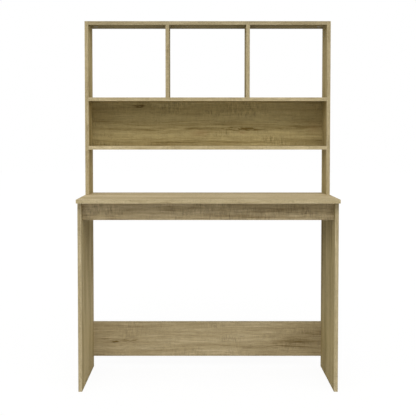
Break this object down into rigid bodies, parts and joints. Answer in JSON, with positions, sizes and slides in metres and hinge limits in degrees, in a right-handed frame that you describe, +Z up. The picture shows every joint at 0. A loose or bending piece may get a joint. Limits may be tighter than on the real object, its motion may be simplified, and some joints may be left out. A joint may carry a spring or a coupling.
{
  "type": "desk with shelves",
  "caption": "Free-standing panel desk with a shallow hutch: open bays over a low back-panelled shelf, panel legs, a front apron and a rear stretcher, in light oak-effect board.",
  "frame": {"origin": "on the floor, at the middle of the desk's footprint", "axes": "+Z up, +Y to the rear, so that the front with the apron faces -Y, +X to the right seen from the front"},
  "size_m": [1.02, 0.45, 1.48],
  "materials": {
    "oak_board": "oak-effect melamine on particle board, matt with fine sawn grain",
    "oak_edge_band": "oak-effect plastic edge strip, a little lighter than the faces",
    "beech_dowel": "plain beech, fluted and unfinished",
    "zinc_cam": "bare die-cast zinc, dull grey",
    "plated_steel": "bright zinc-plated steel"
  },
  "bodies": {
    "desk_frame": {"desktop": "oak_board", "front_apron": "oak_board", "rear_stretcher": "oak_board", "hutch_top": "oak_board", "upper_shelf": "oak_board", "lower_shelf": "oak_board", "left_leg_panel": "oak_board", "left_hutch_side": "oak_board", "left_divider": "oak_board", "right_leg_panel": "oak_board", "right_hutch_side": "oak_board", "right_divider": "oak_board", "hutch_back_panel": "oak_board", "desktop_edge_bands": "oak_edge_band", "front_apron_edge_bands": "oak_edge_band", "rear_stretcher_edge_bands": "oak_edge_band", "hutch_top_edge_bands": "oak_edge_band", "upper_shelf_edge_bands": "oak_edge_band", "lower_shelf_edge_bands": "oak_edge_band", "left_leg_panel_edge_bands": "oak_edge_band", "left_hutch_side_edge_bands": "oak_edge_band", "left_divider_edge_bands": "oak_edge_band", "right_leg_panel_edge_bands": "oak_edge_band", "right_hutch_side_edge_bands": "oak_edge_band", "right_divider_edge_bands": "oak_edge_band", "wood_dowels": "beech_dowel", "cam_bolts": "plated_steel", "connecting_screws": "plated_steel"},
    "cam_left_leg_front": {"cam_left_leg_front": "zinc_cam"},
    "cam_left_leg_rear": {"cam_left_leg_rear": "zinc_cam"},
    "cam_left_apron": {"cam_left_apron": "zinc_cam"},
    "cam_left_stretcher": {"cam_left_stretcher": "zinc_cam"},
    "cam_left_hutch_top": {"cam_left_hutch_top": "zinc_cam"},
    "cam_left_upper_shelf": {"cam_left_upper_shelf": "zinc_cam"},
    "cam_left_lower_shelf": {"cam_left_lower_shelf": "zinc_cam"},
    "cam_right_leg_front": {"cam_right_leg_front": "zinc_cam"},
    "cam_right_leg_rear": {"cam_right_leg_rear": "zinc_cam"},
    "cam_right_apron": {"cam_right_apron": "zinc_cam"},
    "cam_right_stretcher": {"cam_right_stretcher": "zinc_cam"},
    "cam_right_hutch_top": {"cam_right_hutch_top": "zinc_cam"},
    "cam_right_upper_shelf": {"cam_right_upper_shelf": "zinc_cam"},
    "cam_right_lower_shelf": {"cam_right_lower_shelf": "zinc_cam"}
  },
  "joints": [
    {"name": "turn_cam_left_leg_front", "type": "hinge", "parent": "desk_frame", "child": "cam_left_leg_front", "pos_m": [-0.5025, -0.105, 0.721], "axis": [1, 0, 0], "range_deg": [0, 180]},
    {"name": "turn_cam_left_leg_rear", "type": "hinge", "parent": "desk_frame", "child": "cam_left_leg_rear", "pos_m": [-0.5025, 0.1725, 0.721], "axis": [1, 0, 0], "range_deg": [0, 180]},
    {"name": "turn_cam_left_apron", "type": "hinge", "parent": "desk_frame", "child": "cam_left_apron", "pos_m": [-0.471, -0.1475, 0.696], "axis": [0, 1, 0], "range_deg": [0, 180]},
    {"name": "turn_cam_left_stretcher", "type": "hinge", "parent": "desk_frame", "child": "cam_left_stretcher", "pos_m": [-0.471, 0.2175, 0.123], "axis": [0, 1, 0], "range_deg": [0, 180]},
    {"name": "turn_cam_left_hutch_top", "type": "hinge", "parent": "desk_frame", "child": "cam_left_hutch_top", "pos_m": [-0.471, 0.15, 1.4725], "axis": [0, 0, -1], "range_deg": [0, 180]},
    {"name": "turn_cam_left_upper_shelf", "type": "hinge", "parent": "desk_frame", "child": "cam_left_upper_shelf", "pos_m": [-0.471, 0.15, 1.1575], "axis": [0, 0, -1], "range_deg": [0, 180]},
    {"name": "turn_cam_left_lower_shelf", "type": "hinge", "parent": "desk_frame", "child": "cam_left_lower_shelf", "pos_m": [-0.471, 0.15, 0.9555], "axis": [0, 0, -1], "range_deg": [0, 180]},
    {"name": "turn_cam_right_leg_front", "type": "hinge", "parent": "desk_frame", "child": "cam_right_leg_front", "pos_m": [0.5025, -0.105, 0.721], "axis": [-1, 0, 0], "range_deg": [0, 180]},
    {"name": "turn_cam_right_leg_rear", "type": "hinge", "parent": "desk_frame", "child": "cam_right_leg_rear", "pos_m": [0.5025, 0.1725, 0.721], "axis": [-1, 0, 0], "range_deg": [0, 180]},
    {"name": "turn_cam_right_apron", "type": "hinge", "parent": "desk_frame", "child": "cam_right_apron", "pos_m": [0.471, -0.1475, 0.696], "axis": [0, 1, 0], "range_deg": [0, 180]},
    {"name": "turn_cam_right_stretcher", "type": "hinge", "parent": "desk_frame", "child": "cam_right_stretcher", "pos_m": [0.471, 0.2175, 0.123], "axis": [0, 1, 0], "range_deg": [0, 180]},
    {"name": "turn_cam_right_hutch_top", "type": "hinge", "parent": "desk_frame", "child": "cam_right_hutch_top", "pos_m": [0.471, 0.15, 1.4725], "axis": [0, 0, -1], "range_deg": [0, 180]},
    {"name": "turn_cam_right_upper_shelf", "type": "hinge", "parent": "desk_frame", "child": "cam_right_upper_shelf", "pos_m": [0.471, 0.15, 1.1575], "axis": [0, 0, -1], "range_deg": [0, 180]},
    {"name": "turn_cam_right_lower_shelf", "type": "hinge", "parent": "desk_frame", "child": "cam_right_lower_shelf", "pos_m": [0.471, 0.15, 0.9555], "axis": [0, 0, -1], "range_deg": [0, 180]}
  ]
}
